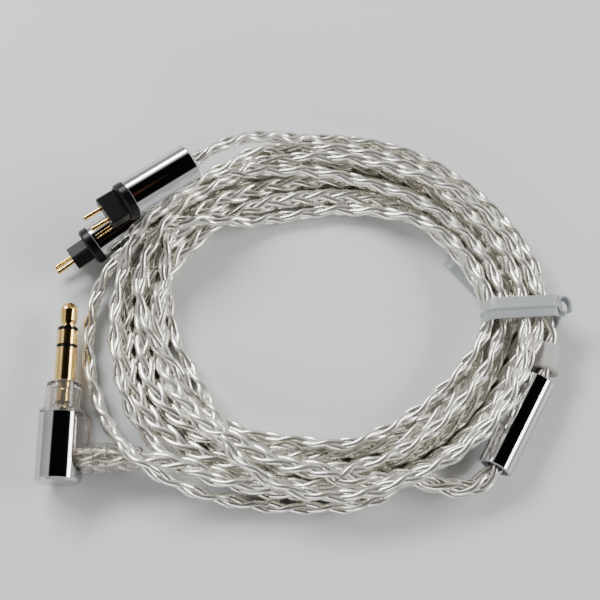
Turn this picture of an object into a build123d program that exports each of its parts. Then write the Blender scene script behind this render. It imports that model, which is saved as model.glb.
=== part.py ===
"""Detachable in-ear monitor cable, coiled and tied, lying flat: right-angle stereo jack, Y-split,
chin slider and two two-pin ear connectors. Millimetres, +Z up, origin on the floor under the
middle of the bounding box."""

from build123d import *
from math import cos, radians, sin, tan
import os

os.makedirs("parts", exist_ok=True)

# ---- driving dimensions ----------------------------------------------------------------------
MIDDLE = Vector(-1.04, 1.657, 0)      # moves the layout so that the origin is under its middle

MAIN_DIAMETER = 3.0                  # eight-strand lead between the jack and the Y-split
BRANCH_DIAMETER = 2.1                # four-strand lead to each ear
CORD_ARC = 0.45                      # share of the shorter run that a bend takes

SLIP = 0.03                          # radial clearance between fixed pieces
RUNNING = 0.08                       # radial clearance of the chin slider on its leads
SOFT_GAP = 0.3                       # room that the coil leaves round hard pieces

COIL_BOTTOM = 0.7
COIL_HEIGHT = 6.1
COIL_ROUNDING = 1.5
COIL_OUTER = [
    (42.6, 4.0), (41.0, 10.0), (34.6, 18.4), (25.0, 26.0), (13.5, 30.0), (1.0, 30.9), (-7.0, 28.6),
    (-13.0, 25.6), (-17.6, 21.4), (-22.4, 14.6), (-28.0, 9.2), (-33.0, 4.2), (-36.0, -1.5), (-36.2, -9.0),
    (-34.6, -17.2), (-29.8, -25.4), (-22.4, -31.4), (-13.0, -34.3), (0.0, -33.6), (11.0, -32.6),
    (21.0, -30.4), (28.2, -26.0), (33.0, -18.8), (36.2, -11.8), (39.6, -4.8), (42.0, -0.4),
]
COIL_INNER = [
    (32.6, 0.0), (29.2, 6.2), (22.6, 13.0), (13.4, 16.2), (3.3, 15.5), (-8.8, 14.2), (-18.6, 12.8),
    (-22.9, 8.6), (-22.6, 0.8), (-18.4, -9.8), (-12.9, -19.0), (-6.3, -23.3), (1.7, -23.4),
    (12.0, -20.4), (21.1, -17.2), (27.6, -11.6), (32.0, -5.0),
]

# Right-angle jack: the plug points along +Y, the cable leaves along +X.
JACK_X = -39.2
JACK_SHOULDER_Y = -14.5              # front face of the collar, where the plug starts
JACK_BODY_RADIUS = 3.8
PLUG_RADIUS = 1.75                   # 3.5 mm stereo plug
PLUG_LENGTH = 14.0
TIP_BULGE_RADIUS = 1.52
TIP_NECK_RADIUS = 1.12
TIP_LIP_RADIUS = 1.45
RING_RADIUS = 1.75                   # the ring and both insulators lie flush with the sleeve
INSULATOR_LENGTH = 0.6
TIP_CONTACT_LENGTH = 4.55
RING_CONTACT_LENGTH = 2.4
ROD_RADIUS = 0.35                    # tip rod, with the tubes that nest round it
TUBE_WALL = 0.17
PLUG_BASE_RADIUS = 1.1
PLUG_BASE_LENGTH = 3.4
LUG_STEP = 0.7
COLLAR_LENGTH = 4.6
COLLAR_FRONT_RADIUS = 2.85
COLLAR_BACK_RADIUS = 3.1
SHOULDER_LENGTH = 0.9
SHELL_LENGTH = 11.2
SHELL_WALL = 0.45
SHELL_FLOOR = 1.0
SHELL_SLOT_WIDTH = 5.8
HOUSING_WALL = 1.1
HOUSING_PROUD = 0.4
ARM_RADIUS = 2.5
ARM_FROM_SHOULDER = 12.7
ARM_REACH = 5.7
ARM_GAP = 0.1
ARM_RING_LENGTH = 2.0
BOOT_LENGTH = 5.6
BOOT_END_RADIUS = 1.95

# Ear connectors: (name, shoulder position, heading, pitch and roll in degrees).
EAR_PLUGS = [
    ("left", (-28.64, 15.23, 11.9), 216.0, 4.0, 0.0),
    ("right", (-35.4, 10.6, 3.6), 215.9, -5.0, 46.0),
]
BARREL_RADIUS = 3.4
BARREL_LENGTH = 12.6
BARREL_WALL = 0.6
BARREL_REAR_WALL = 1.2
FLANGE_RADIUS = 3.35
FLANGE_LENGTH = 1.6
BLOCK_WIDTH = 5.4
BLOCK_THICKNESS = 2.5
BLOCK_LENGTH = 3.3
SPIGOT_LENGTH = 3.0
PIN_RADIUS = 0.39
PIN_SHANK_RADIUS = 0.6                # thicker shank, moulded into the block
PIN_SHANK_RECESS = 0.05
PIN_PITCH = 2.4
PIN_LENGTH = 3.5
CUP_RADIUS = 0.8
CUP_LENGTH = 2.2
CORE_RADIUS = 0.4
SLEEVE_WALL = 0.22
SLEEVE_OUT = 2.5

# Y-split, with its axis level and the main lead entering at its lower end.
SPLIT_START = (31.75, -28.65)
SPLIT_HEADING = 61.2
SPLIT_RADIUS = 2.9
SPLIT_LENGTH = 17.0
SPLIT_WALL = 0.55
SPLIT_INSERT = 1.6
SPLICE_RADIUS = 1.75
SPLICE_LENGTH = 7.0

# Chin slider, which runs on the two leads above the Y-split.
SLIDER_CENTRE = (41.4, -10.2)
SLIDER_HEADING = 73.0
SLIDER_RADIUS = 2.8
SLIDER_LENGTH = 4.6
SLIDER_ROUNDING = 0.5
SLIDER_UP = 0.3
LEAD_SPACING = 2.16                  # the two leads lie one above the other in the slider
LEAD_LENGTH_BELOW = 4.6
LEAD_TURN = 1.95                     # room for the start of the bend above the slider

# Twist tie round the right-hand side of the coil.
TIE_MIDDLE_Y = -2.3
TIE_WIDTH = 3.7
TIE_THICKNESS = 0.4
TIE_RIB_RADIUS = 0.42
TIE_WIRE_RADIUS = 0.18
TIE_OUTER_X = (31.0, 44.0)
TIE_TOP_Z = 7.5
TIE_CORNER = 1.8
TIE_LOOP_REACH = 1.5
TAIL_START = (35.4, -1.0)
TAIL_END = (26.6, 9.15)
TAIL_THICKNESS = 0.3
TAIL_RIB_RADIUS = 0.32               # pressed flatter than the rest, under the coil

BRANCH_RADIUS = BRANCH_DIAMETER / 2
MAIN_RADIUS = MAIN_DIAMETER / 2


# ---- helpers -----------------------------------------------------------------------------------
def at(x, y, z=0.0):
    """Place a point of the layout in the part's own frame."""
    return Vector(x, y, z) + MIDDLE


def axial(frame):
    """Plane through a frame's axis: x is the radius and y runs along the axis."""
    return Plane(origin=frame.origin, x_dir=frame.x_dir, z_dir=-frame.y_dir)


def along(frame, distance):
    """The same frame, moved along its own axis."""
    return frame.offset(distance)


def write(piece, label):
    """Name one finished piece and write it to its own file."""
    piece.part.label = label
    export_step(piece.part, f"parts/{label}.step")


def turned(label, frame, outline):
    """Turned piece from its half outline, given as (radius, distance along the axis)."""
    with BuildPart() as piece:
        with BuildSketch(axial(frame)):
            with BuildLine():
                Polyline(*outline, close=True)
            make_face()
        revolve(axis=Axis(frame.origin, frame.z_dir))
    write(piece, label)


def cord(label, diameter, points):
    """Round cord along straight runs joined by arcs as large as the runs allow."""
    radii = []
    for before, corner, after in zip(points, points[1:], points[2:]):
        run_in, run_out = corner - before, after - corner
        turn = radians(run_in.get_angle(run_out))
        shorter = min(run_in.length, run_out.length)
        radii.append(CORD_ARC * shorter / tan(turn / 2))
    with BuildPart() as piece:
        with BuildLine():
            route = FilletPolyline(*points, radius=radii)
        with BuildSketch(Plane(origin=route @ 0, z_dir=route % 0)):
            Circle(diameter / 2)
        sweep()
    expected = 3.14159 * diameter**2 / 4 * route.length
    print(f"{label}: length {route.length:.1f} mm, radii", [round(r, 1) for r in radii],
          f"volume {piece.part.volume / expected:.3f} of section x length")
    write(piece, label)


# ---- right-angle jack --------------------------------------------------------------------------
jack = Plane(origin=at(JACK_X, JACK_SHOULDER_Y, JACK_BODY_RADIUS), x_dir=(1, 0, 0), z_dir=(0, 1, 0))
tip_back = PLUG_LENGTH - TIP_CONTACT_LENGTH
ring_front = tip_back - INSULATOR_LENGTH
ring_back = ring_front - RING_CONTACT_LENGTH
sleeve_front = ring_back - INSULATOR_LENGTH
tube_radii = [ROD_RADIUS + TUBE_WALL * step for step in range(4)]
stack_end = -PLUG_BASE_LENGTH

turned("jack_tip", jack, [
    (0, PLUG_LENGTH), (0.5, PLUG_LENGTH - 0.05), (0.9, PLUG_LENGTH - 0.25), (1.25, PLUG_LENGTH - 0.65),
    (TIP_BULGE_RADIUS - 0.05, PLUG_LENGTH - 1.05), (TIP_BULGE_RADIUS, PLUG_LENGTH - 1.4),
    (TIP_BULGE_RADIUS - 0.14, PLUG_LENGTH - 3.3), (TIP_NECK_RADIUS, PLUG_LENGTH - 3.8),
    (TIP_NECK_RADIUS, PLUG_LENGTH - 4.1), (TIP_LIP_RADIUS, PLUG_LENGTH - 4.25), (TIP_LIP_RADIUS, tip_back),
    (tube_radii[0], tip_back), (tube_radii[0], stack_end - 3 * LUG_STEP), (0, stack_end - 3 * LUG_STEP),
])
turned("jack_tip_insulator", jack, [
    (tube_radii[0] + SLIP / 3, tip_back), (RING_RADIUS - 0.02, tip_back), (RING_RADIUS - 0.02, ring_front),
    (tube_radii[1], ring_front), (tube_radii[1], stack_end - 2 * LUG_STEP),
    (tube_radii[0] + SLIP / 3, stack_end - 2 * LUG_STEP),
])
turned("jack_ring", jack, [
    (tube_radii[1] + SLIP / 3, ring_front), (RING_RADIUS, ring_front), (RING_RADIUS, ring_back),
    (tube_radii[2], ring_back), (tube_radii[2], stack_end - 1.5 * LUG_STEP),
    (tube_radii[1] + SLIP / 3, stack_end - 1.5 * LUG_STEP),
])
turned("jack_ring_insulator", jack, [
    (tube_radii[2] + SLIP / 3, ring_back), (RING_RADIUS - 0.02, ring_back), (RING_RADIUS - 0.02, sleeve_front),
    (tube_radii[3], sleeve_front), (tube_radii[3], stack_end - 0.01),
    (PLUG_BASE_RADIUS + 0.25, stack_end - 0.01), (PLUG_BASE_RADIUS + 0.25, stack_end - 0.4),
    (tube_radii[2] + SLIP / 3, stack_end - 0.4),
])
turned("jack_sleeve", jack, [
    (tube_radii[3] + SLIP / 3, sleeve_front), (PLUG_RADIUS, sleeve_front), (PLUG_RADIUS, 0),
    (PLUG_BASE_RADIUS, 0), (PLUG_BASE_RADIUS, stack_end), (tube_radii[3] + SLIP / 3, stack_end),
])

collar_back = -COLLAR_LENGTH
shell_front = collar_back - SHOULDER_LENGTH
shell_back = shell_front - SHELL_LENGTH
housing_radius = JACK_BODY_RADIUS - SHELL_WALL - SLIP
housing_back = shell_back + SHELL_FLOOR
cavity_radius = housing_radius - HOUSING_WALL
arm = Plane(origin=jack.origin - Vector(0, ARM_FROM_SHOULDER, 0), x_dir=(0, 0, -1), z_dir=(1, 0, 0))
cable_bore = MAIN_RADIUS + SLIP

with BuildPart() as jack_housing:
    with BuildSketch(axial(jack)):
        with BuildLine():
            Polyline((0, 0), (COLLAR_FRONT_RADIUS - 0.3, 0), (COLLAR_FRONT_RADIUS, -0.3),
                     (COLLAR_BACK_RADIUS, collar_back), (JACK_BODY_RADIUS - 0.35, collar_back),
                     (JACK_BODY_RADIUS - 0.05, collar_back - 0.35), (JACK_BODY_RADIUS - 0.05, shell_front),
                     (housing_radius, shell_front), (housing_radius, housing_back), (0, housing_back),
                     close=True)
        make_face()
    revolve(axis=Axis(jack.origin, jack.z_dir))
    with BuildSketch(arm):
        with Locations((0, (ARM_FROM_SHOULDER + shell_front) / 2)):
            Rectangle(SHELL_SLOT_WIDTH - 2 * SLIP, ARM_FROM_SHOULDER + shell_front)
    extrude(amount=JACK_BODY_RADIUS + HOUSING_PROUD)
    with BuildSketch(arm):
        Circle(ARM_RADIUS)
    extrude(amount=ARM_REACH)
    with BuildSketch(jack):
        Circle(PLUG_BASE_RADIUS + SLIP)
    extrude(amount=-1.2, mode=Mode.SUBTRACT)
    with BuildSketch(along(jack, -1.2)):
        Circle(cavity_radius)
    extrude(amount=housing_back + 1.2 + HOUSING_WALL, mode=Mode.SUBTRACT)
    with BuildSketch(arm):
        Circle(cable_bore)
    extrude(amount=ARM_REACH, mode=Mode.SUBTRACT)
write(jack_housing, "jack_housing")

with BuildPart() as jack_shell:
    with BuildSketch(axial(jack)):
        with BuildLine():
            Polyline((JACK_BODY_RADIUS - SHELL_WALL, shell_front), (JACK_BODY_RADIUS - 0.1, shell_front),
                     (JACK_BODY_RADIUS, shell_front - 0.1), (JACK_BODY_RADIUS, shell_back + 0.4),
                     (JACK_BODY_RADIUS - 0.4, shell_back), (0, shell_back), (0, housing_back),
                     (JACK_BODY_RADIUS - SHELL_WALL, housing_back), close=True)
        make_face()
    revolve(axis=Axis(jack.origin, jack.z_dir))
    with BuildSketch(arm):
        with Locations((0, (ARM_FROM_SHOULDER + shell_front) / 2 + 0.5)):
            Rectangle(SHELL_SLOT_WIDTH, ARM_FROM_SHOULDER + shell_front + 1.0)
        Circle(SHELL_SLOT_WIDTH / 2)
    extrude(amount=JACK_BODY_RADIUS + 1, mode=Mode.SUBTRACT)
write(jack_shell, "jack_shell")

ring_start = ARM_REACH + ARM_GAP
boot_start = ring_start + ARM_RING_LENGTH + ARM_GAP
boot_end = boot_start + BOOT_LENGTH
turned("jack_arm_ring", arm, [
    (cable_bore, ring_start), (ARM_RADIUS, ring_start), (ARM_RADIUS, ring_start + ARM_RING_LENGTH),
    (cable_bore, ring_start + ARM_RING_LENGTH),
])
turned("jack_boot", arm, [
    (cable_bore, boot_start), (ARM_RADIUS - 0.05, boot_start), (BOOT_END_RADIUS, boot_end - 0.3),
    (BOOT_END_RADIUS - 0.3, boot_end), (cable_bore, boot_end),
])

# Conductors from the end of the plug's stack to the cable, one for each contact.
with BuildPart() as jack_conductors:
    for side in (-1, 0, 1):
        start = jack.origin + Vector(side * 0.95, stack_end - (3.0 if side else 2.9) * LUG_STEP, 0)
        with BuildSketch(Plane(origin=start - Vector(0, 0.3, 0), z_dir=(0, -1, 0))):
            Circle(CORE_RADIUS)
        extrude(amount=ARM_FROM_SHOULDER + stack_end - 3 * LUG_STEP - MAIN_RADIUS - 0.6)
write(jack_conductors, "jack_conductors")


# ---- ear connectors ----------------------------------------------------------------------------
def plug_frame(place, heading, pitch, roll):
    """Frame on a connector's shoulder: z runs out along the pins, x across the pair of pins."""
    turn, tilt = radians(heading), radians(pitch)
    pins = Vector(cos(turn) * cos(tilt), sin(turn) * cos(tilt), sin(tilt))
    level = Vector(-sin(turn), cos(turn), 0)
    across = level.rotate(Axis((0, 0, 0), pins), roll)
    return Plane(origin=at(*place), x_dir=across, z_dir=pins)


def ear_connector(side, frame):
    """One two-pin connector: barrel, moulded pin block, two pins, their conductors and a sleeve."""
    bore = BARREL_RADIUS - BARREL_WALL
    sleeve_radius = BRANCH_RADIUS + SLIP + SLEEVE_WALL
    rear = -BARREL_LENGTH
    turned(f"{side}_barrel", frame, [
        (bore, 0), (BARREL_RADIUS - 0.1, 0), (BARREL_RADIUS, -0.1), (BARREL_RADIUS, rear + 0.5),
        (BARREL_RADIUS - 0.5, rear), (sleeve_radius + SLIP, rear),
        (sleeve_radius + SLIP, rear + BARREL_REAR_WALL), (bore, rear + BARREL_REAR_WALL),
    ])

    with BuildPart() as block:
        with BuildSketch(frame):
            Circle(FLANGE_RADIUS)
        extrude(amount=FLANGE_LENGTH)
        chamfer(block.edges().filter_by(GeomType.CIRCLE).sort_by(Axis(frame.origin, frame.z_dir))[-1], 0.35)
        with BuildSketch(along(frame, FLANGE_LENGTH)):
            Rectangle(BLOCK_WIDTH, BLOCK_THICKNESS)
        extrude(amount=BLOCK_LENGTH)
        sides = block.edges().filter_by(Axis(frame.origin, frame.z_dir)).filter_by(GeomType.LINE)
        chamfer(sides, 0.3)
        with BuildSketch(frame):
            Circle(bore - SLIP)
        extrude(amount=-SPIGOT_LENGTH)
        with BuildSketch(along(frame, -SPIGOT_LENGTH)):
            with GridLocations(PIN_PITCH, 1, 2, 1):
                Circle(PIN_SHANK_RADIUS + SLIP)
        extrude(amount=SPIGOT_LENGTH + FLANGE_LENGTH + BLOCK_LENGTH, mode=Mode.SUBTRACT)
    write(block, f"{side}_pin_block")

    with BuildPart() as pins:
        with BuildSketch(along(frame, -SPIGOT_LENGTH - SLIP)):
            with GridLocations(PIN_PITCH, 1, 2, 1):
                Circle(PIN_SHANK_RADIUS)
        extrude(amount=SPIGOT_LENGTH + SLIP + FLANGE_LENGTH + BLOCK_LENGTH - PIN_SHANK_RECESS)
        with BuildSketch(along(frame, FLANGE_LENGTH + BLOCK_LENGTH - PIN_SHANK_RECESS)):
            with GridLocations(PIN_PITCH, 1, 2, 1):
                Circle(PIN_RADIUS)
        extrude(amount=PIN_LENGTH + PIN_SHANK_RECESS)
        ends = pins.edges().filter_by(GeomType.CIRCLE).group_by(Axis(frame.origin, frame.z_dir))[-1]
        fillet(ends, PIN_RADIUS * 0.7)
        with BuildSketch(along(frame, -SPIGOT_LENGTH - SLIP)):
            with GridLocations(PIN_PITCH, 1, 2, 1):
                Circle(CUP_RADIUS)
        extrude(amount=-CUP_LENGTH)
    write(pins, f"{side}_contact_pins")

    core_start = -SPIGOT_LENGTH - SLIP - CUP_LENGTH
    core_end = rear + BARREL_REAR_WALL + SLIP
    with BuildPart() as cores:
        with BuildSketch(along(frame, core_start)):
            with GridLocations(2 * CORE_RADIUS + 0.4, 1, 2, 1):
                Circle(CORE_RADIUS)
        extrude(amount=core_end - core_start)
    write(cores, f"{side}_conductors")

    turned(f"{side}_rear_sleeve", frame, [
        (BRANCH_RADIUS + SLIP, rear + BARREL_REAR_WALL), (sleeve_radius, rear + BARREL_REAR_WALL),
        (sleeve_radius, rear - SLEEVE_OUT), (BRANCH_RADIUS + SLIP, rear - SLEEVE_OUT),
    ])


plug_frames = {}
for side, place, heading, pitch, roll in EAR_PLUGS:
    plug_frames[side] = plug_frame(place, heading, pitch, roll)
    ear_connector(side, plug_frames[side])


# ---- Y-split -----------------------------------------------------------------------------------
def level_frame(place, heading, height):
    """Level frame whose z runs along a heading and whose x points up."""
    turn = radians(heading)
    return Plane(origin=at(*place, height), x_dir=(0, 0, 1), z_dir=(cos(turn), sin(turn), 0))


split = level_frame(SPLIT_START, SPLIT_HEADING, SPLIT_RADIUS)
slider_frame = level_frame(SLIDER_CENTRE, SLIDER_HEADING, SPLIT_RADIUS)
split_bore = SPLIT_RADIUS - SPLIT_WALL
turned("splitter_barrel", split, [
    (split_bore, 0), (SPLIT_RADIUS - 0.15, 0), (SPLIT_RADIUS, 0.15), (SPLIT_RADIUS, SPLIT_LENGTH - 0.15),
    (SPLIT_RADIUS - 0.15, SPLIT_LENGTH), (split_bore, SPLIT_LENGTH),
])
turned("splitter_lower_insert", split, [
    (cable_bore, 0), (split_bore - SLIP, 0), (split_bore - SLIP, SPLIT_INSERT), (cable_bore, SPLIT_INSERT),
])
with BuildPart() as splitter_upper_insert:
    with BuildSketch(along(split, SPLIT_LENGTH - SPLIT_INSERT)):
        Circle(split_bore - SLIP)
    extrude(amount=SPLIT_INSERT)
    with BuildSketch(along(slider_frame, -LEAD_LENGTH_BELOW - SPLIT_INSERT)):
        SlotCenterToCenter(LEAD_SPACING, BRANCH_DIAMETER + 2 * RUNNING)
    extrude(amount=LEAD_LENGTH_BELOW + SPLIT_INSERT, mode=Mode.SUBTRACT)
write(splitter_upper_insert, "splitter_upper_insert")
with BuildPart() as splitter_splice:
    with BuildSketch(along(split, SPLIT_LENGTH / 2 - SPLICE_LENGTH / 2)):
        Circle(SPLICE_RADIUS)
    extrude(amount=SPLICE_LENGTH)
    chamfer(splitter_splice.edges().filter_by(GeomType.CIRCLE), 0.4)
write(splitter_splice, "splitter_splice")

# ---- chin slider -------------------------------------------------------------------------------
with BuildPart() as chin_slider:
    with BuildSketch(along(slider_frame, -SLIDER_LENGTH / 2)):
        Circle(SLIDER_RADIUS)
        SlotCenterToCenter(LEAD_SPACING, BRANCH_DIAMETER + 2 * RUNNING, mode=Mode.SUBTRACT)
    extrude(amount=SLIDER_LENGTH)
    fillet(chin_slider.edges().filter_by(GeomType.CIRCLE).group_by(SortBy.RADIUS)[-1], SLIDER_ROUNDING)
write(chin_slider, "chin_slider")

# ---- twist tie ---------------------------------------------------------------------------------
tie_left, tie_right = TIE_OUTER_X
tie_centre = at((tie_left + tie_right) / 2, TIE_MIDDLE_Y, TIE_TOP_Z / 2)
rib_out = TIE_RIB_RADIUS
tie_plane = Plane(origin=tie_centre, x_dir=(1, 0, 0), z_dir=(0, -1, 0))
loop_width = tie_right - tie_left - 2 * rib_out
loop_height = TIE_TOP_Z - 2 * rib_out
with BuildSketch(tie_plane) as tie_outline:
    RectangleRounded(loop_width, loop_height, TIE_CORNER)
tie_path = tie_outline.sketch.face().outer_wire()
tie_section = Plane(origin=tie_path @ 0, x_dir=(0, 1, 0), z_dir=tie_path % 0)
tail = Vector(*TAIL_END) - Vector(*TAIL_START)
tail_plane = Plane(origin=at(*TAIL_START), x_dir=tail, z_dir=(0, 0, 1))
with BuildPart() as tie_strip:
    with BuildSketch(tie_section):
        Rectangle(TIE_WIDTH, TIE_THICKNESS)
        Circle(TIE_RIB_RADIUS)
        Circle(TIE_WIRE_RADIUS + SLIP / 3, mode=Mode.SUBTRACT)
    sweep(path=tie_path)
    with BuildSketch(tail_plane.offset(TAIL_RIB_RADIUS - TAIL_THICKNESS / 2)):
        with Locations((tail.length / 2, 0)):
            Rectangle(tail.length, TIE_WIDTH)
    extrude(amount=TAIL_THICKNESS)
    with BuildSketch(Plane(origin=tail_plane.origin + Vector(0, 0, TAIL_RIB_RADIUS), z_dir=tail)):
        Circle(TAIL_RIB_RADIUS)
    extrude(amount=tail.length)
    with BuildSketch(Plane(origin=at(tie_right - rib_out, TIE_MIDDLE_Y + 1.0, TIE_TOP_Z / 2))):
        SlotOverall(2 * TIE_LOOP_REACH, TIE_WIDTH * 0.7)
    extrude(amount=TIE_THICKNESS / 2, both=True)
    with BuildSketch(tie_plane.offset(-TIE_WIDTH)):
        RectangleRounded(loop_width - TIE_THICKNESS, loop_height - TIE_THICKNESS, TIE_CORNER - TIE_THICKNESS / 2)
    extrude(amount=2 * TIE_WIDTH, mode=Mode.SUBTRACT)
    with BuildSketch(tie_section):
        Circle(TIE_WIRE_RADIUS + SLIP / 3)
    sweep(path=tie_path, mode=Mode.SUBTRACT)
write(tie_strip, "tie_strip")
with BuildPart() as tie_wire:
    with BuildSketch(tie_section):
        Circle(TIE_WIRE_RADIUS)
    sweep(path=tie_path)
write(tie_wire, "tie_wire")

# ---- cable -------------------------------------------------------------------------------------
with BuildPart() as coil:
    with BuildSketch(Plane.XY.offset(COIL_BOTTOM)):
        with BuildLine():
            Spline(*[at(*point) for point in COIL_OUTER], periodic=True)
        make_face()
        with BuildLine():
            Spline(*[at(*point) for point in COIL_INNER], periodic=True)
        make_face(mode=Mode.SUBTRACT)
    extrude(amount=COIL_HEIGHT)
    fillet(coil.edges().filter_by(GeomType.BSPLINE).group_by(Axis.Z)[0], COIL_ROUNDING)
    fillet(coil.edges().group_by(Axis.Z)[-1], COIL_ROUNDING)
    with BuildSketch(arm):
        Circle(ARM_RADIUS + SOFT_GAP)
    extrude(amount=boot_end + SOFT_GAP, mode=Mode.SUBTRACT)
write(coil, "coil")

cord("main_lead", MAIN_DIAMETER, [
    at(JACK_X + MAIN_RADIUS, -27.2, 3.8), at(-22.6, -27.2, 3.8), at(-18.2, -28.4, 3.6),
])
split_end = split.origin + split.z_dir * SPLIT_INSERT
cord("main_end", MAIN_DIAMETER, [
    at(18.4, -29.4, 2.6), at(22.8, -31.4, 2.4), at(28.2, -32.2, 2.6), at(31.2, -29.65, 2.9), split_end,
])
for name, offset in (("left", 1), ("right", -1)):
    lift = Vector(0, 0, offset * LEAD_SPACING / 2)
    start = slider_frame.origin - slider_frame.z_dir * LEAD_LENGTH_BELOW + lift
    turn = slider_frame.origin + slider_frame.z_dir * (SLIDER_LENGTH / 2 + SLIDER_UP + LEAD_TURN) + lift
    cord(f"{name}_lead_start", BRANCH_DIAMETER, [
        start, turn, at(41.25, -2.0, SPLIT_RADIUS) + lift, at(40.7, 1.4, SPLIT_RADIUS) + lift,
    ])
cord("left_lead_end", BRANCH_DIAMETER, [
    plug_frames["left"].origin - plug_frames["left"].z_dir * (BARREL_LENGTH - BARREL_REAR_WALL),
    plug_frames["left"].origin - plug_frames["left"].z_dir * (BARREL_LENGTH + SLEEVE_OUT),
    at(-13.2, 26.4, 10.2), at(-9.0, 28.3, 8.7), at(-4.6, 29.2, 6.6), at(-0.4, 29.3, 4.8),
])
cord("right_lead_end", BRANCH_DIAMETER, [
    plug_frames["right"].origin - plug_frames["right"].z_dir * (BARREL_LENGTH - BARREL_REAR_WALL),
    plug_frames["right"].origin - plug_frames["right"].z_dir * (BARREL_LENGTH + SLEEVE_OUT),
    at(-20.4, 21.2, 5.0), at(-16.8, 22.9, 4.7), at(-12.8, 23.2, 4.4),
])
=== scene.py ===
"""Looks of a coiled in-ear monitor cable: braided leads, twist tie, finishes, light and camera."""

import logging
import math
from dataclasses import dataclass, field
from enum import Enum
from typing import Sequence, Union

import bmesh
import bpy
import numpy as np
from mathutils import Matrix, Vector

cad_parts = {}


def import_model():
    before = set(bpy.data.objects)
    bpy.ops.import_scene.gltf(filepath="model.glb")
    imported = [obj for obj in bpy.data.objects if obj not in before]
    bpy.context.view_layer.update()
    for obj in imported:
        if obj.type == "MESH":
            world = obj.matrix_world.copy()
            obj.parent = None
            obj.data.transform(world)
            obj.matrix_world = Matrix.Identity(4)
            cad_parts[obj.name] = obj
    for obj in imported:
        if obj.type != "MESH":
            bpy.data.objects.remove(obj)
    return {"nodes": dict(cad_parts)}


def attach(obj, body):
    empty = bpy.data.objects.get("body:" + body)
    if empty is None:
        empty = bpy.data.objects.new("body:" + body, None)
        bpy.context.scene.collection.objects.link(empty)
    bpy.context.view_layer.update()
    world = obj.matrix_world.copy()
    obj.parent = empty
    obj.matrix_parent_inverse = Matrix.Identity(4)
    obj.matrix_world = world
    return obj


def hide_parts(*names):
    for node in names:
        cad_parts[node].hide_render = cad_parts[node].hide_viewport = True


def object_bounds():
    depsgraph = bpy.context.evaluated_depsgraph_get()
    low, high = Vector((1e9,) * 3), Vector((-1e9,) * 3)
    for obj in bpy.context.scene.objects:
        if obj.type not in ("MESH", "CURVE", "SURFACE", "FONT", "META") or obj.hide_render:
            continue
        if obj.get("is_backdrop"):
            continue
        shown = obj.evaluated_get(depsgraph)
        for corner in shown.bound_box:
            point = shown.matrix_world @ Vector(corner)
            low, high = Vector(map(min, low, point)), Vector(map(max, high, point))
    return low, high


log = logging.getLogger("cable")
MM = 0.001
MIDDLE = Vector((-1.04, 1.657, 0.0))
Point = tuple[float, float, float]
Colour = tuple[float, float, float]
TURN = 2 * math.pi

# sockets of the Mix node that carry colours
MIX_LOW, MIX_HIGH, MIX_COLOUR = 6, 7, 2


def place(x: float, y: float, z: float) -> Vector:
    """A point of the layout, given in millimetres, in the model's own frame in metres."""
    return (Vector((x, y, z)) + MIDDLE) * MM


# ---- shader building ---------------------------------------------------------------------------
class Value:
    """A shader socket that takes part in plain arithmetic, adding a Math node for each step."""

    def __init__(self, shader: "Graph", socket: bpy.types.NodeSocket) -> None:
        """Wrap one output socket of a node graph."""
        self.shader = shader
        self.socket = socket

    def _with(self, operation: str, first: "Operand", second: "Operand") -> "Value":
        """Add one Math node that joins two operands."""
        return self.shader.node("ShaderNodeMath", {"operation": operation}, {0: first, 1: second})

    def __add__(self, other: "Operand") -> "Value":
        """Sum of two values."""
        return self._with("ADD", self, other)

    __radd__ = __add__

    def __mul__(self, other: "Operand") -> "Value":
        """Product of two values."""
        return self._with("MULTIPLY", self, other)

    __rmul__ = __mul__

    def wave(self) -> "Value":
        """Sine of this value, moved into the range from 0 to 1."""
        return self._with("SINE", self, 0.0) * 0.5 + 0.5


Operand = Union[Value, float]


class Graph:
    """A node tree that is built one node at a time."""

    def __init__(self, tree: bpy.types.NodeTree) -> None:
        """Take over a node tree."""
        self.tree = tree

    def node(
        self,
        kind: str,
        settings: dict[str, object] | None = None,
        inputs: dict[int | str, object] | None = None,
        output: int | str = 0,
    ) -> Value:
        """Add one node.

        Args:
            kind: the node's type.
            settings: its properties, set first; "stops" gives a colour ramp's
                (place, colour) pairs.
            inputs: values or links of its sockets, by number or name.
            output: the socket that is returned.

        Returns:
            The wrapped output socket.
        """
        made = self.tree.nodes.new(kind)
        for key, value in (settings or {}).items():
            if key == "stops":
                ramp = made.color_ramp
                for index, (where, colour) in enumerate(value):
                    stop = ramp.elements[index] if index < 2 else ramp.elements.new(where)
                    stop.position = where
                    stop.color = (*colour, 1.0)
            else:
                setattr(made, key, value)
        for key, value in (inputs or {}).items():
            self.feed(made.inputs[key], value)
        return Value(self, made.outputs[output])

    def feed(self, socket: bpy.types.NodeSocket, value: object) -> None:
        """Link a wrapped socket into an input, or set the input's own value."""
        if isinstance(value, Value):
            self.tree.links.new(value.socket, socket)
        elif isinstance(value, tuple) and len(value) == 3 and socket.type == "RGBA":
            socket.default_value = (*value, 1.0)
        else:
            socket.default_value = value


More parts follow.
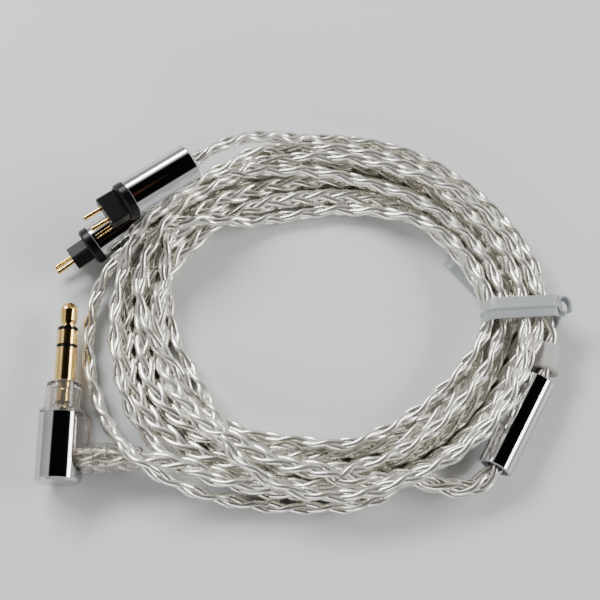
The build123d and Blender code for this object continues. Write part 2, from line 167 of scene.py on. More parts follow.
class Shader(Graph):
    """One material with a Principled surface, built node by node."""

    def __init__(self, name: str) -> None:
        """Start an empty material of the given name."""
        self.material = bpy.data.materials.new(name)
        self.material.use_nodes = True
        super().__init__(self.material.node_tree)
        self.tree.nodes.clear()
        self.surface = self.tree.nodes.new("ShaderNodeBsdfPrincipled")
        output = self.tree.nodes.new("ShaderNodeOutputMaterial")
        self.tree.links.new(self.surface.outputs[0], output.inputs[0])

    def set(self, **inputs: object) -> None:
        """Set or link sockets of the Principled surface; underscores stand for spaces."""
        for key, value in inputs.items():
            self.feed(self.surface.inputs[key.replace("_", " ")], value)

    def noise(self, scale: float, detail: float = 2.0, roughness: float = 0.5) -> Value:
        """Soft noise of a given scale per metre, fixed to the object."""
        where = self.node("ShaderNodeTexCoord", output="Object")
        return self.node(
            "ShaderNodeTexNoise", None,
            {"Vector": where, "Scale": scale, "Detail": detail, "Roughness": roughness},
        )

    def tint(self, mask: Operand, low: Colour, high: Colour) -> Value:
        """Colour that runs from one to another with a mask."""
        return self.node(
            "ShaderNodeMix", {"data_type": "RGBA"}, {"Factor": mask, MIX_LOW: low, MIX_HIGH: high},
            output=MIX_COLOUR,
        )

    def bump(self, height: Value, strength: float, distance: float) -> Value:
        """Normal that is tilted by a height, with distance in metres."""
        return self.node(
            "ShaderNodeBump", None, {"Height": height, "Strength": strength, "Distance": distance},
        )


@dataclass(frozen=True)
class Finish:
    """A finish that one or more pieces of the cable take."""

    name: str

    def material(self) -> bpy.types.Material:
        """Build the finish, or return the one already built."""
        found = bpy.data.materials.get(self.name)
        return found or self.build(Shader(self.name))

    def build(self, shader: Shader) -> bpy.types.Material:
        """Fill in the shader's nodes."""
        raise NotImplementedError

    def dress(self, piece: bpy.types.Object) -> None:
        """Give the finish to a whole piece."""
        if piece.material_slots:
            for entry in piece.material_slots:
                entry.material = self.material()
        else:
            piece.data.materials.append(self.material())


@dataclass(frozen=True)
class PolishedMetal(Finish):
    """Plated or chromed metal with faint wiping marks and a little wear."""

    colour: Colour = (0.62, 0.62, 0.63)
    worn: Colour = (0.5, 0.5, 0.51)
    roughness: float = 0.05
    wiping: float = 0.05

    def build(self, shader: Shader) -> bpy.types.Material:
        """Fine noise in the roughness and a slow change of tint."""
        marks = shader.noise(2600.0, 3.0, 0.6)
        patches = shader.noise(260.0, 2.0)
        shader.set(
            Base_Color=shader.tint(patches, self.worn, self.colour),
            Roughness=marks * self.wiping + (self.roughness - self.wiping * 0.3),
            Metallic=1.0,
            Normal=shader.bump(marks, 0.04, 0.00002),
        )
        return shader.material


@dataclass(frozen=True)
class BlackMoulding(Finish):
    """Black moulded plastic with a fine spark-eroded grain."""

    roughness: float = 0.3
    shine: float = 0.22

    def build(self, shader: Shader) -> bpy.types.Material:
        """Grain in the bump and in the gloss, with slightly greyer rubbed patches."""
        grain = shader.noise(9000.0, 4.0, 0.6)
        rubbed = shader.noise(420.0, 2.0)
        shader.set(
            Base_Color=shader.tint(rubbed, (0.001, 0.001, 0.0012), (0.004, 0.004, 0.0045)),
            Roughness=grain * 0.12 + (self.roughness - 0.05),
            Specular_IOR_Level=self.shine,
            Normal=shader.bump(grain, 0.25, 0.00002),
        )
        return shader.material


@dataclass(frozen=True)
class ClearMoulding(Finish):
    """Smoky translucent plastic, cloudy inside, with flow marks on its surface."""

    colour: Colour = (0.8, 0.76, 0.71)
    clearness: float = 0.93
    roughness: float = 0.1

    def build(self, shader: Shader) -> bpy.types.Material:
        """Transmission with cloudy tint and a faint surface ripple."""
        cloud = shader.noise(520.0, 3.0, 0.6)
        ripple = shader.noise(1500.0, 2.0)
        shader.set(
            Base_Color=shader.tint(cloud, tuple(c * 0.86 for c in self.colour), self.colour),
            Roughness=ripple * 0.1 + (self.roughness - 0.05),
            Transmission_Weight=self.clearness,
            IOR=1.4,
            Normal=shader.bump(ripple, 0.12, 0.00008),
        )
        return shader.material


@dataclass(frozen=True)
class FrostedSilicone(Finish):
    """Milky silicone with a dusty, soft surface."""

    colour: Colour = (0.66, 0.645, 0.61)

    def build(self, shader: Shader) -> bpy.types.Material:
        """Partly clear body under a matt, finely pitted skin."""
        pits = shader.noise(5200.0, 4.0, 0.65)
        cloud = shader.noise(380.0, 2.0)
        shader.set(
            Base_Color=shader.tint(cloud, tuple(c * 0.85 for c in self.colour), self.colour),
            Roughness=pits * 0.25 + 0.3,
            Transmission_Weight=0.35,
            IOR=1.41,
            Subsurface_Weight=0.2,
            Subsurface_Radius=(0.002, 0.002, 0.0018),
            Subsurface_Scale=1.0,
            Normal=shader.bump(pits, 0.3, 0.00003),
        )
        return shader.material


@dataclass(frozen=True)
class SilverLitz(Finish):
    """Bundle of fine twisted silver wires seen through a glossy clear jacket."""

    # The first colour is a painted highlight on the wire crests, the second a painted shade in the grooves
    # between the wires.
    light: Colour = (0.97, 0.95, 0.89)
    painted_groove_shade: Colour = (0.68, 0.645, 0.555)
    wires_per_metre: float = 420.0
    wires_round: float = 9.0

    def build(self, shader: Shader) -> bpy.types.Material:
        """Slanted bands along the strand's own UV map make the twisted wires, with painted highlight on
        their crests and painted shade in the grooves between them.
        """
        where = shader.node("ShaderNodeUVMap", {"uv_map": "strand"})
        along, around = (
            shader.node("ShaderNodeSeparateXYZ", None, {0: where}, output=part) for part in ("X", "Y")
        )
        fray = shader.noise(700.0, 2.0, 0.5)
        lay = along * (self.wires_per_metre * TURN) + around * (self.wires_round * TURN)
        twist = (lay + fray * 1.5).wave()
        # Mask of the wire bands (painted highlight on the crests, painted shade in the grooves), with some
        # random tone from the fray noise.
        wires = twist * 0.65 + fray * 0.35
        shader.set(
            Base_Color=shader.tint(wires, self.painted_groove_shade, self.light),
            Metallic=0.85,
            Roughness=fray * 0.08 + 0.24,
            Coat_Weight=1.0,
            Coat_Roughness=0.05,
            Coat_IOR=1.5,
            Normal=shader.bump(twist, 0.12, 0.00003),
        )
        return shader.material


@dataclass(frozen=True)
class TiePlastic(Finish):
    """Matt grey plastic ribbon with a drawn lengthwise grain and faint creases."""

    colour: Colour = (0.37, 0.388, 0.405)

    def build(self, shader: Shader) -> bpy.types.Material:
        """Fine grain and soft blotches."""
        grain = shader.noise(3800.0, 3.0, 0.6)
        blotch = shader.noise(300.0, 2.0)
        shader.set(
            Base_Color=shader.tint(blotch, tuple(c * 0.84 for c in self.colour), self.colour),
            Roughness=grain * 0.2 + 0.34,
            Coat_Weight=0.15,
            Coat_Roughness=0.3,
            Normal=shader.bump(grain, 0.2, 0.00004),
        )
        return shader.material


@dataclass(frozen=True)
class PaleFloor(Finish):
    """Plain pale table top with the faintest unevenness."""

    colour: Colour = (0.74, 0.755, 0.77)

    def build(self, shader: Shader) -> bpy.types.Material:
        """Very soft blotches, almost matt."""
        blotch = shader.noise(9.0, 2.0)
        shader.set(
            Base_Color=shader.tint(blotch, tuple(c * 0.985 for c in self.colour), self.colour),
            Roughness=0.55,
        )
        return shader.material


GOLD = PolishedMetal("gold_plate", (0.95, 0.68, 0.25), (0.88, 0.58, 0.2), 0.12, 0.06)
CHROME = PolishedMetal("polished_chrome")
STEEL = PolishedMetal("tie_wire_steel", (0.3, 0.3, 0.3), (0.22, 0.22, 0.22), 0.35, 0.1)
BLACK = BlackMoulding("black_moulding")
INSULATOR = BlackMoulding("black_insulator", 0.22)
CLEAR = ClearMoulding("smoky_moulding")
SLEEVE = ClearMoulding("clear_sleeve", (0.93, 0.92, 0.9), 0.95, 0.08)
FROSTED = FrostedSilicone("milky_silicone")
LITZ = SilverLitz("silver_litz")
RIBBON = TiePlastic("tie_ribbon")
FLOOR = PaleFloor("pale_floor")


# ---- the way the leads are wound ---------------------------------------------------------------
@dataclass
class Lead:
    """One lead: fixed points at each end and listed stations round the coil between them.

    A station is (angle in degrees, distance from the coil's middle, height), the last two in
    millimetres. The fixed points are (x, y, z) in millimetres.
    """

    name: str
    diameter: float
    start: list[Point]
    stations: list[Point]
    end: list[Point]
    angles: np.ndarray = field(default_factory=lambda: np.zeros(0))
    wound: np.ndarray = field(default_factory=lambda: np.zeros((0, 2)))

    def wind(self, step: float, offset: float) -> None:
        """Spread the stations evenly round the coil, a fixed angle apart."""
        given = np.array(self.stations)
        first = math.ceil((given[0, 0] - offset) / step)
        last = math.floor((given[-1, 0] - offset) / step)
        self.angles = offset + step * np.arange(first, last + 1)
        columns = [np.interp(self.angles, given[:, 0], given[:, column]) for column in (1, 2)]
        self.wound = np.stack(columns, axis=1)

    def route(self) -> list[Vector]:
        """Control points of the whole lead, in metres in the model's frame."""
        turns = [
            place(radius * math.cos(math.radians(a)), radius * math.sin(math.radians(a)), height)
            for a, (radius, height) in zip(self.angles, self.wound)
        ]
        return [place(*p) for p in self.start] + turns + [place(*p) for p in self.end]


MAIN = Lead(
    "main_cable", 3.0,
    [(-37.7, -27.2, 3.8), (-22.6, -27.2, 3.8)],
    [
        (238, 33.4, 3.4), (255, 32.2, 2.2), (270, 31.8, 1.6), (285, 32.3, 1.6), (300, 34.4, 1.6),
        (315, 36.2, 1.6), (330, 36.8, 1.6), (345, 37.4, 1.8), (357, 39.2, 2.2), (380, 35.2, 1.6),
        (420, 29.4, 1.6), (450, 26.4, 1.6), (480, 25.8, 1.6), (510, 26.9, 1.6), (540, 29.2, 1.6),
        (570, 32.2, 1.6), (600, 31.2, 1.6), (630, 28.6, 1.6), (645, 29.6, 1.6), (660, 31.2, 1.6),
        (675, 32.8, 1.6), (690, 33.7, 1.6), (705, 34.6, 1.8), (717, 36.2, 2.2), (750, 30.6, 1.6),
        (780, 25.9, 1.6), (810, 22.8, 1.6), (840, 22.9, 1.6), (870, 25.6, 4.4), (900, 26.6, 2.0),
        (930, 29.0, 1.6), (960, 28.2, 1.6), (990, 25.8, 1.6), (1020, 28.0, 1.6), (1050, 30.5, 1.6),
        (1077, 33.2, 2.2), (1110, 27.8, 1.6), (1140, 22.4, 1.6), (1170, 19.4, 1.6), (1200, 20.2, 1.6),
        (1230, 23.8, 1.6), (1260, 24.3, 1.8), (1290, 25.6, 1.8), (1320, 26.6, 4.0), (1350, 29.4, 4.6),
        (1368, 33.0, 3.6),
    ],
    [(18.4, -29.9, 2.6), (22.8, -31.6, 2.4), (28.2, -32.2, 2.6), (31.2, -29.65, 2.9), (32.5, -27.3, 2.9)],
)
LEFT = Lead(
    "left_cable", 2.1,
    [(40.06, -14.6, 3.98), (42.16, -7.71, 3.98), (42.6, -5.4, 3.98)],
    [
        (357, 41.4, 4.0), (375, 38.0, 4.3), (390, 34.4, 4.4), (420, 29.0, 4.3), (450, 26.4, 4.2),
        (480, 25.2, 4.4), (510, 27.4, 6.2), (525, 28.2, 5.6), (540, 27.6, 4.4), (553, 26.0, 3.4),
        (570, 24.4, 2.0), (585, 24.0, 1.6), (600, 24.8, 1.8), (616, 25.0, 2.0), (630, 25.0, 1.8),
        (645, 26.6, 4.0), (675, 27.4, 2.0), (690, 29.4, 2.4), (717, 33.1, 4.9), (735, 30.0, 4.4),
        (750, 27.4, 3.6), (780, 20.4, 1.4), (810, 16.4, 1.2), (840, 17.2, 1.2), (858, 22.0, 4.2),
        (870, 27.2, 7.2), (878, 30.4, 7.0), (890, 34.2, 3.6), (900, 36.0, 1.4), (912, 37.2, 1.2),
        (927, 38.2, 1.2), (938, 38.5, 3.4), (947, 38.5, 6.9), (956, 37.8, 5.6), (965, 36.6, 2.6),
        (975, 34.8, 1.3), (990, 34.0, 1.2), (1005, 34.2, 1.2), (1020, 35.0, 4.8), (1035, 37.0, 6.4),
        (1050, 38.2, 7.1), (1064, 39.4, 7.0), (1077, 40.6, 5.3), (1092, 40.8, 2.4), (1104, 38.7, 1.2),
        (1115, 37.4, 1.1), (1127, 36.3, 1.1), (1146, 33.7, 1.1), (1158, 32.0, 1.6), (1168, 31.0, 2.9),
    ],
    [
        (-0.6, 30.2, 4.4), (-4.8, 29.8, 6.4), (-9.0, 28.6, 8.5), (-13.2, 26.4, 10.2), (-16.4, 24.1, 10.8),
        (-19.4, 21.9, 11.08),
    ],
)
RIGHT = Lead(
    "right_cable", 2.1,
    [(40.06, -14.6, 1.82), (42.16, -7.71, 1.82), (42.6, -5.4, 1.82)],
    [
        (357, 41.4, 1.9), (372, 39.6, 1.4), (390, 35.7, 1.2), (420, 31.6, 1.2), (450, 28.9, 1.2),
        (480, 28.0, 1.6), (498, 26.4, 4.2), (511, 25.2, 5.6), (520, 25.4, 3.6), (531, 24.4, 1.6),
        (542, 23.6, 1.2), (551, 22.6, 1.1), (566, 21.8, 1.1), (581, 22.4, 1.2), (593, 23.9, 2.8),
        (603, 27.6, 5.8), (612, 30.0, 6.2), (620, 31.7, 6.0), (627, 32.8, 5.4), (637, 33.6, 4.8),
        (652, 34.7, 4.8), (669, 36.2, 6.4), (680, 38.0, 7.0), (690, 38.6, 7.2), (704, 39.6, 7.0),
        (717, 38.3, 5.1), (735, 36.6, 4.4), (750, 33.6, 4.4), (780, 30.2, 3.8), (810, 29.0, 3.4),
        (840, 27.4, 4.6), (856, 27.6, 7.4), (868, 29.0, 8.0), (880, 29.9, 6.6), (890, 31.0, 3.8),
        (901, 31.2, 3.0), (910, 31.6, 3.4), (923, 32.4, 3.6), (938, 34.3, 2.8), (947, 35.6, 2.2),
        (960, 34.4, 4.4), (975, 32.6, 4.6), (990, 31.0, 4.4), (1020, 30.8, 4.4), (1050, 32.4, 4.4),
        (1077, 35.5, 4.9), (1095, 32.6, 4.4), (1110, 29.6, 4.4), (1140, 24.4, 4.2), (1170, 23.8, 4.3),
        (1190, 25.4, 4.4),
    ],
    [(-16.8, 22.7, 4.8), (-20.4, 21.2, 5.0), (-23.17, 19.42, 4.92), (-26.2, 17.25, 4.65)],
)


@dataclass
class Capsule:
    """A round hard piece that the leads lie beside, between two points, in layout millimetres."""

    start: Point
    end: Point
    radius: float

    def push(self, points: np.ndarray, room: np.ndarray) -> np.ndarray:
        """How far each point has to move to stand clear of the piece.

        Args:
            points: the leads' points.
            room: each lead's radius.

        Returns:
            One displacement for each point.
        """
        a, b = np.array(self.start), np.array(self.end)
        along = b - a
        share = np.clip((points - a) @ along / (along @ along), 0, 1)
        away = points - (a + share[:, None] * along)
        distance = np.linalg.norm(away, axis=1)
        short = np.maximum(self.radius + room - distance, 0)
        return away / np.maximum(distance, 1e-6)[:, None] * short[:, None]


@dataclass
class Winding:
    """Lays the leads in their coil so that they rest beside and on each other.

    Angles are in degrees and sizes in millimetres. The tie's window is the nearest and furthest
    distance from the coil's middle, and the lowest and highest height, inside the twist tie.
    """

    leads: list[Lead]
    step: float = 10.0
    tie_angle: float = -3.5
    rounds: int = 260
    free_share: float = 0.85
    smoothing: float = 0.1
    pull: float = 0.12
    sinking: float = 0.012
    spacing: float = 1.02
    parting: float = 0.42
    floor_gap: float = 0.02
    tie_window: tuple[float, float, float, float] = (31.75, 43.25, 0.65, 6.85)
    hard: list[Capsule] = field(default_factory=lambda: [
        Capsule((-35.4, 10.6, 3.6), (-25.2, 17.9, 4.7), 3.4),
        Capsule((-25.2, 17.9, 4.7), (-23.2, 19.4, 4.9), 1.35),
        Capsule((-28.64, 15.23, 11.9), (-18.48, 22.62, 11.02), 3.4),
        Capsule((-18.5, 22.6, 11.0), (-16.46, 24.1, 10.8), 1.35),
        Capsule((31.75, -28.65, 2.9), (39.94, -13.75, 2.9), 2.92),
        Capsule((40.73, -12.4, 2.9), (42.07, -8.0, 2.9), 2.85),
        Capsule((-39.2, -1.5, 3.8), (-39.2, -14.5, 3.8), 1.8),
        Capsule((-39.2, -14.5, 3.8), (-39.2, -31.0, 3.8), 3.2),
        Capsule((-34.0, -27.2, 3.8), (-25.8, -27.2, 3.8), 2.3),
    ])

    def settle(self) -> None:
        """Move the wound points until no lead lies in another, in a hard piece or in the floor."""
        for lead in self.leads:
            lead.wind(self.step, self.tie_angle)
        angle = np.concatenate([lead.angles for lead in self.leads])
        spot = np.concatenate([lead.wound for lead in self.leads])
        wish = spot.copy()
        room = np.concatenate([np.full(len(lead.angles), lead.diameter / 2) for lead in self.leads])
        sectors = round(360 / self.step)
        bins = np.round((angle - self.tie_angle) / self.step).astype(int) % sectors
        inner = np.ones(len(angle), bool)
        edges = np.cumsum([0] + [len(lead.angles) for lead in self.leads])
        inner[edges[:-1]] = inner[edges[1:] - 1] = False
        between = np.nonzero(inner)[0]
        groups = [np.nonzero(bins == sector)[0] for sector in range(sectors)]
        direction = np.stack([np.cos(np.radians(angle)), np.sin(np.radians(angle))], axis=1)
        for turn in range(self.rounds):
            if turn <= self.rounds * self.free_share:
                middle = (spot[between - 1] + spot[between + 1]) / 2
                spot[between] += self.smoothing * (middle - spot[between])
                spot += self.pull * (wish - spot)
                spot[:, 1] -= self.sinking
            for group in groups:
                self.part(spot, room, group)
            solid = np.concatenate([spot[:, :1] * direction, spot[:, 1:]], axis=1)
            for piece in self.hard:
                shift = piece.push(solid, room)
                spot[:, 0] += np.sum(shift[:, :2] * direction, axis=1)
                spot[:, 1] += shift[:, 2]
            self.keep_in_tie(spot, room, bins)
            spot[:, 1] = np.maximum(spot[:, 1], room + self.floor_gap)
            ends = np.concatenate([edges[:-1], edges[1:] - 1])
            spot[ends] = wish[ends]
        for lead, first, after in zip(self.leads, edges[:-1], edges[1:]):
            lead.wound = spot[first:after]

    def part(self, spot: np.ndarray, room: np.ndarray, group: np.ndarray) -> None:
        """Push apart the leads that overlap at one station round the coil.

        Args:
            spot: distance from the middle and height of every point, which are changed.
            room: each point's lead radius.
            group: the points at this station.
        """
        for _ in range(2):
            here = spot[group]
            gap = here[:, None] - here[None]
            distance = np.linalg.norm(gap, axis=2) + np.eye(len(group)) * 1e3
            touching = (room[group][:, None] + room[group][None]) * self.spacing
            short = np.maximum(touching - distance, 0)
            move = gap / np.maximum(distance, 1e-6)[:, :, None] * short[:, :, None]
            spot[group] += self.parting * move.sum(axis=1)

    def keep_in_tie(self, spot: np.ndarray, room: np.ndarray, bins: np.ndarray) -> None:
        """Hold the leads inside the twist tie where it goes round them.

        Args:
            spot: distance from the middle and height of every point, which are changed.
            room: each point's lead radius.
            bins: the station that each point belongs to; the tie is at the first one.
        """
        low, high, floor, top = self.tie_window
        here = bins == 0
        spot[here, 0] = np.clip(spot[here, 0], low + room[here], high - room[here])
        spot[here, 1] = np.clip(spot[here, 1], floor + room[here], top - room[here])


# ---- braids ------------------------------------------------------------------------------------
class Weave(Enum):
    """How the strands of a braid pass over each other."""

    OVER_ONE = 1
    OVER_TWO = 2


@dataclass
class Braid:
    """Round braid of an even number of strands along a lead's centreline.

    All sizes are in millimetres. The lift is how far a strand rises and dips as it weaves, the
    core is the radius of the filling, and the spread moves the strands out from the middle.
    """

    lead: Lead
    strands: int
    strand_diameter: float
    pitch: float
    weave: Weave
    lift: float
    core: float
    spread: float
    step: float = 0.55
    sides: int = 3
    declared_every: int = 3

    def centreline(self) -> np.ndarray:
        """Evenly spaced points along the lead's smooth line, in metres."""
        curve = bpy.data.curves.new(self.lead.name + "_line", "CURVE")
        curve.dimensions = "3D"
        curve.resolution_u = 10
        line = curve.splines.new("NURBS")
        points = self.lead.route()
        line.points.add(len(points) - 1)
        for knot, point in zip(line.points, points):
            knot.co = (*point, 1.0)
        line.order_u = 3
        line.use_endpoint_u = True
        holder = bpy.data.objects.new(self.lead.name + "_line", curve)
        mesh = bpy.data.meshes.new_from_object(holder)
        dense = np.array([tuple(v.co) for v in mesh.vertices])
        bpy.data.meshes.remove(mesh)
        bpy.data.objects.remove(holder)
        bpy.data.curves.remove(curve)
        travelled = np.concatenate([[0.0], np.cumsum(np.linalg.norm(np.diff(dense, axis=0), axis=1))])
        marks = np.linspace(0.0, travelled[-1], int(travelled[-1] / (self.step * MM)) + 1)
        return np.stack([np.interp(marks, travelled, dense[:, axis]) for axis in range(3)], axis=1)

    @staticmethod
    def frames(line: np.ndarray) -> tuple[np.ndarray, np.ndarray]:
        """Two directions across the line at each point, carried along without twist."""
        ahead = np.gradient(line, axis=0)
        ahead /= np.linalg.norm(ahead, axis=1)[:, None]
        across = np.zeros_like(line)
        current = np.cross(ahead[0], (0.0, 0.0, 1.0))
        for index, tangent in enumerate(ahead):
            current = current - tangent * (current @ tangent)
            current /= np.linalg.norm(current)
            across[index] = current
        return across, np.cross(ahead, across)

    def strand_line(self, line: np.ndarray, across: np.ndarray, up: np.ndarray, number: int) -> np.ndarray:
        """Centreline of one strand.

        Args:
            line: points along the lead.
            across: first direction across it.
            up: second direction across it.
            number: the strand; even ones turn one way and odd ones the other.

        Returns:
            Points along the strand, in metres.
        """
        ways = self.strands // 2
        place_in_way, other_way = divmod(number, 2)
        travelled = np.arange(len(line)) * self.step
        turn = TURN * travelled / self.pitch
        sense = -1.0 if other_way else 1.0
        angle = sense * turn + TURN * place_in_way / ways
        if self.weave is Weave.OVER_ONE:
            over = sense * np.cos(ways * turn)
        else:
            over = sense * np.cos(2 * turn + sense * math.pi * place_in_way - sense * math.pi / 4)
        mean = (self.lead.diameter - self.strand_diameter) / 2 - self.lift + self.spread
        radius = (mean + self.lift * over) * MM
        outward = np.cos(angle)[:, None] * across + np.sin(angle)[:, None] * up
        return line + radius[:, None] * outward

    def build(self) -> tuple[bpy.types.Object, list[Vector]]:
        """Make the braid as one mesh of round strands.

        Returns:
            The piece, and the points of its centreline.
        """
        line = self.centreline()
        across, up = self.frames(line)
        curve = bpy.data.curves.new(self.lead.name, "CURVE")
        curve.dimensions = "3D"
        curve.bevel_depth = self.strand_diameter / 2 * MM
        curve.bevel_resolution = self.sides - 1
        curve.use_fill_caps = True
        for number in range(self.strands):
            self.thread(curve, self.strand_line(line, across, up, number), 1.0)
        self.thread(curve, line, self.core / (self.strand_diameter / 2))
        holder = bpy.data.objects.new(self.lead.name + "_strands", curve)
        mesh = bpy.data.meshes.new_from_object(holder)
        mesh.name = self.lead.name
        bpy.data.objects.remove(holder)
        bpy.data.curves.remove(curve)
        self.stretch_map(mesh, len(line) * self.step * MM)
        piece = bpy.data.objects.new(self.lead.name, mesh)
        bpy.context.scene.collection.objects.link(piece)
        mesh.materials.clear()
        LITZ.dress(piece)
        log.info("%s: %d strands, %d faces", self.lead.name, self.strands, len(mesh.polygons))
        return piece, [Vector(point) for point in line[::self.declared_every]] + [Vector(line[-1])]

    @staticmethod
    def thread(curve: bpy.types.Curve, path: np.ndarray, thickness: float) -> None:
        """Add one strand to the curve that holds them all.

        Args:
            curve: the curve.
            path: the strand's points, in metres.
            thickness: its radius as a share of the curve's bevel.
        """
        strand = curve.splines.new("POLY")
        strand.points.add(len(path) - 1)
        strand.points.foreach_set("co", np.concatenate([path, np.ones((len(path), 1))], axis=1).ravel())
        strand.points.foreach_set("radius", np.full(len(path), thickness, np.float32))
        strand.use_smooth = True

    @staticmethod
    def stretch_map(mesh: bpy.types.Mesh, length: float) -> None:
        """Name the strands' UV map and measure it in metres along the strand."""
        if not mesh.uv_layers:
            mesh.uv_layers.new(name="strand")
        layer = mesh.uv_layers[0]
        layer.name = "strand"
        flat = np.zeros(len(layer.data) * 2, np.float32)
        layer.data.foreach_get("uv", flat)
        pairs = flat.reshape(-1, 2)
        pairs[:, 0] *= length
        layer.data.foreach_set("uv", pairs.ravel())


# ---- twist tie ---------------------------------------------------------------------------------
Station = tuple[Vector, Vector, Vector]


@dataclass
class TwistTie:
    """Flat ribbon with a wire along its middle, wrapped round the coil and twisted at one side."""

    width: float = 3.7
    thickness: float = 0.34
    rib: float = 0.44
    left: float = 31.2
    right: float = 43.8
    top: float = 7.3
    corner: float = 1.9
    middle_y: float = -2.3
    lift: float = 0.22
    edge_bevel: float = 0.12
    rib_foot: float = 0.25
    skew: float = 0.35
    curl_middle: tuple[float, float] = (44.35, -1.8)
    curl_size: tuple[float, float] = (1.1, 1.45)
    curl_half_width: float = 1.2
    tail_start: tuple[float, float] = (36.6, -2.3)
    tail_end: tuple[float, float] = (26.6, 9.2)
    tail_height: float = 0.24
    tail_steps: int = 8

    def profile(self, mesh: bmesh.types.BMesh, half: float) -> list[bmesh.types.BMVert]:
        """Cross-section of the ribbon as a closed ring, flat with a round rib down its middle.

        Args:
            mesh: the mesh that takes the ring.
            half: half of the ribbon's width.

        Returns:
            The ring's vertices, in the plane x = 0.
        """
        flat = self.thickness / 2
        edge, inside, foot = flat * 0.6, half - self.edge_bevel, self.rib + self.rib_foot
        arc = [math.radians(degree) for degree in range(160, 19, -20)]
        shape = [(-half, -edge), (-half, edge), (-inside, flat), (-foot, flat)]
        shape += [(self.rib * math.cos(a), edge + self.rib * 0.75 * math.sin(a)) for a in arc]
        shape += [(foot, flat), (inside, flat), (half, edge), (half, -edge)]
        shape += [(inside, -flat), (-inside, -flat)]
        return [mesh.verts.new((0.0, y * MM, z * MM)) for y, z in shape]

    def run(self, name: str, path: list[Station], half: float, closed: bool) -> bpy.types.Object:
        """Draw the ribbon's section along a path.

        Args:
            name: the piece's name.
            path: (point, direction across the ribbon, direction out of its face) at each step.
            half: half of the ribbon's width.
            closed: whether the path comes back to its start.

        Returns:
            The finished piece.
        """
        mesh = bmesh.new()
        ring = self.profile(mesh, half)
        template = [v.co.copy() for v in ring]
        first = None
        for index, (point, across, out) in enumerate(path):
            if index:
                edges = [mesh.edges.get((a, b)) for a, b in zip(ring, ring[1:] + ring[:1])]
                made = bmesh.ops.extrude_edge_only(mesh, edges=edges)["geom"]
                ring = self.in_order(ring, made)
            else:
                for a, b in zip(ring, ring[1:] + ring[:1]):
                    mesh.edges.new((a, b))
                first = ring
            for vertex, rest in zip(ring, template):
                vertex.co = point + across * rest.y + out * rest.z
        if closed:
            edges = [mesh.edges.get((a, b)) for r in (ring, first) for a, b in zip(r, r[1:] + r[:1])]
            bmesh.ops.bridge_loops(mesh, edges=edges)
        else:
            for end in (first, ring):
                bmesh.ops.contextual_create(mesh, geom=end)
        bmesh.ops.recalc_face_normals(mesh, faces=mesh.faces)
        return finish_piece(mesh, name, RIBBON)

    @staticmethod
    def in_order(ring: list[bmesh.types.BMVert], made: list) -> list[bmesh.types.BMVert]:
        """New ring of an extrusion, in the old ring's order."""
        fresh = {v for v in made if isinstance(v, bmesh.types.BMVert)}
        return [
            next(e.other_vert(vertex) for e in vertex.link_edges if e.other_vert(vertex) in fresh)
            for vertex in ring
        ]

    def loop_path(self) -> list[Station]:
        """Rounded loop round the coil, slightly skewed as a hand-made wrap is."""
        half_x = (self.right - self.left) / 2 - self.corner
        half_z = self.top / 2 - self.corner - 0.25
        centre = ((self.left + self.right) / 2, self.top / 2 + self.lift)
        path = []
        corners = [
            (half_x, half_z, 0), (-half_x, half_z, 90), (-half_x, -half_z, 180), (half_x, -half_z, 270),
        ]
        for cx, cz, start in corners:
            for degree in range(start, start + 91, 15):
                a = math.radians(degree)
                x = centre[0] + cx + self.corner * math.cos(a)
                z = centre[1] + cz + self.corner * math.sin(a)
                skew = self.skew * (x - centre[0]) / 6.0 * (1 if z > centre[1] else -0.4)
                path.append((
                    place(x, self.middle_y + skew, z), Vector((0, 1, 0)),
                    Vector((math.cos(a), 0, math.sin(a))),
                ))
        return path

    def curl_path(self) -> list[Station]:
        """Small loop at the outer side, where the two ends are twisted together."""
        path = []
        for degree in range(-30, 271, 20):
            a = math.radians(degree)
            x = self.curl_middle[0] + self.curl_size[0] * math.cos(a)
            y = self.curl_middle[1] + self.curl_size[1] * math.sin(a)
            out = Vector((math.cos(a), math.sin(a), 0))
            path.append((place(x, y, 5.5 + degree * 0.003), Vector((0, 0, 1)), out))
        return path

    def tail_path(self) -> list[Station]:
        """Free end that runs out under the coil and is cut off inside it."""
        path = []
        start, end = Vector((*self.tail_start, 0)), Vector((*self.tail_end, 0))
        ahead = (end - start).normalized()
        across = Vector((-ahead.y, ahead.x, 0))
        for index in range(self.tail_steps + 1):
            spot = start.lerp(end, index / self.tail_steps)
            height = self.tail_height + 0.02 * math.sin(index)
            path.append((place(spot.x, spot.y, height), across, Vector((0, 0, 1))))
        return path

    def build(self) -> None:
        """Make the ribbon's pieces and put them in place of the plain ones."""
        wrap = self.run("tie_wrap", self.loop_path(), self.width / 2, True)
        curl = self.run("tie_curl", self.curl_path(), self.curl_half_width, False)
        tail = self.run("tie_tail", self.tail_path(), self.width / 2, False)
        for piece in (wrap, curl, tail):
            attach(piece, "cable")
        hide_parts("tie_strip")
        wires = self.cut_wires()
        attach(wires, "cable")
        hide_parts("tie_wire")

    @staticmethod
    def cut_wires() -> bpy.types.Object:
        """Cut ends of the wire that stand out of the ribbon's ends."""
        mesh = bmesh.new()
        spots = [((26.45, 9.4, 0.3), (-0.656, 0.755, 0.0)), ((43.4, 1.0, 1.9), (0.1, 0.95, -0.3))]
        for spot, direction in spots:
            turn = Vector((0, 0, 1)).rotation_difference(Vector(direction)).to_matrix().to_4x4()
            bmesh.ops.create_cone(
                mesh, cap_ends=True, segments=12, radius1=0.22 * MM, radius2=0.2 * MM, depth=0.9 * MM,
                matrix=Matrix.Translation(place(*spot)) @ turn,
            )
        return finish_piece(mesh, "tie_wire_ends", STEEL)


